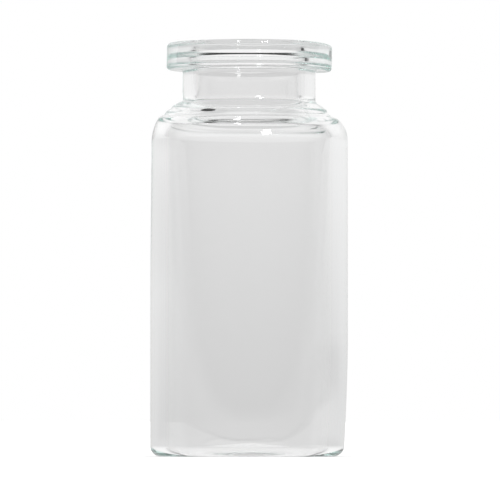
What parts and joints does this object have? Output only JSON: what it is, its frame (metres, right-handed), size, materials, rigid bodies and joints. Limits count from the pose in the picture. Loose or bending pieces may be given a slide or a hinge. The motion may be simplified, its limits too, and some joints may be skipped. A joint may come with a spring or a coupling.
{
  "type": "glass sample vial",
  "caption": "Open clear glass vial with a round body, sloping shoulder, short neck and a crimp rim with a stopper groove.",
  "frame": {"origin": "centre of the foot, on the surface the vial stands on", "axes": "+Z along the vial's axis, out of its mouth; X and Y are alike because the vial is round"},
  "size_m": [0.0239, 0.0238, 0.05],
  "materials": {
    "glass": "clear moulded glass with a faint green tint"
  },
  "bodies": {
    "root": {"vial": "glass"}
  },
  "joints": []
}
